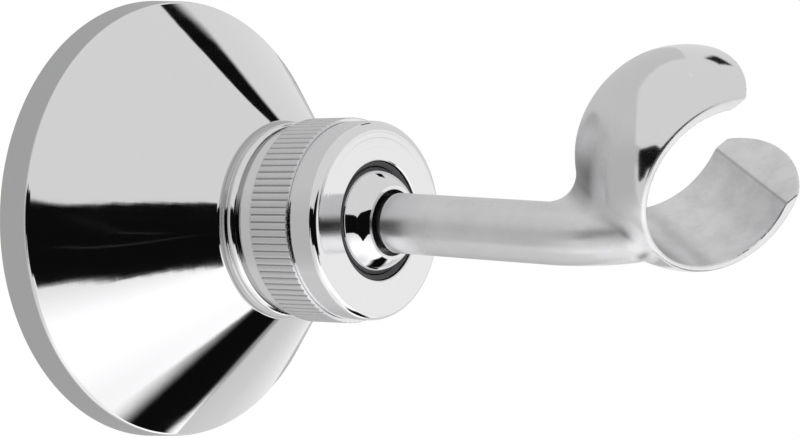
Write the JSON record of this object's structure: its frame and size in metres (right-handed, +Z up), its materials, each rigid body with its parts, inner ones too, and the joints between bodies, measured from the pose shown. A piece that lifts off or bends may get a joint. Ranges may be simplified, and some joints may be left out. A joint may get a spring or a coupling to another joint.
{
  "type": "hand shower holder",
  "caption": "Wall-mounted hand shower holder: conical chromed rosette, ball clamped by a knurled nut, and a round arm that ends in a slotted, bored cradle.",
  "frame": {"origin": "middle of the rosette's wall face", "axes": "the wall lies in the XZ plane, +Z is up, and the rosette's axis leaves the wall along -Y"},
  "size_m": [0.07, 0.1067, 0.07],
  "materials": {
    "chrome_plate": "polished chrome plate on turned brass",
    "chrome_casting": "chrome plate on a polished casting, a little softer than the turned pieces",
    "dark_plastic": "moulded, smooth",
    "nylon": "moulded, natural white",
    "rubber": "cut from sheet"
  },
  "bodies": {
    "base": {"wall_rosette": "chrome_plate", "cushion_ring": "rubber"},
    "seat": {"seat_cup": "nylon"},
    "ball": {"swivel_ball": "chrome_plate"},
    "arm": {"holder_arm": "chrome_casting"},
    "ring": {"bearing_ring": "dark_plastic"},
    "nut": {"clamp_nut": "chrome_plate"}
  },
  "joints": [
    {"name": "seat_swivel", "type": "hinge", "parent": "base", "child": "seat", "pos_m": [0, -0.0414, 0], "axis": [0, -1, 0], "continuous": true},
    {"name": "ball_tilt", "type": "hinge", "parent": "seat", "child": "ball", "pos_m": [0, -0.0414, 0], "axis": [1, 0, 0], "range_deg": [-32.5, 27.5]},
    {"name": "arm_twist", "type": "hinge", "parent": "ball", "child": "arm", "pos_m": [0, -0.0414, 0], "axis": [0, -0.999, -0.0436], "continuous": true},
    {"name": "nut_travel", "type": "slide", "parent": "base", "child": "ring", "axis": [0, -1, 0], "range_m": [0, 0.00076]},
    {"name": "nut_turn", "type": "hinge", "parent": "ring", "child": "nut", "pos_m": [0, -0.0414, 0], "axis": [0, -1, 0], "range_deg": [0, 180]}
  ],
  "couplings": [
    {"joint": "nut_travel", "follows": "nut_turn", "m_per_rad": 0.00023873}
  ]
}
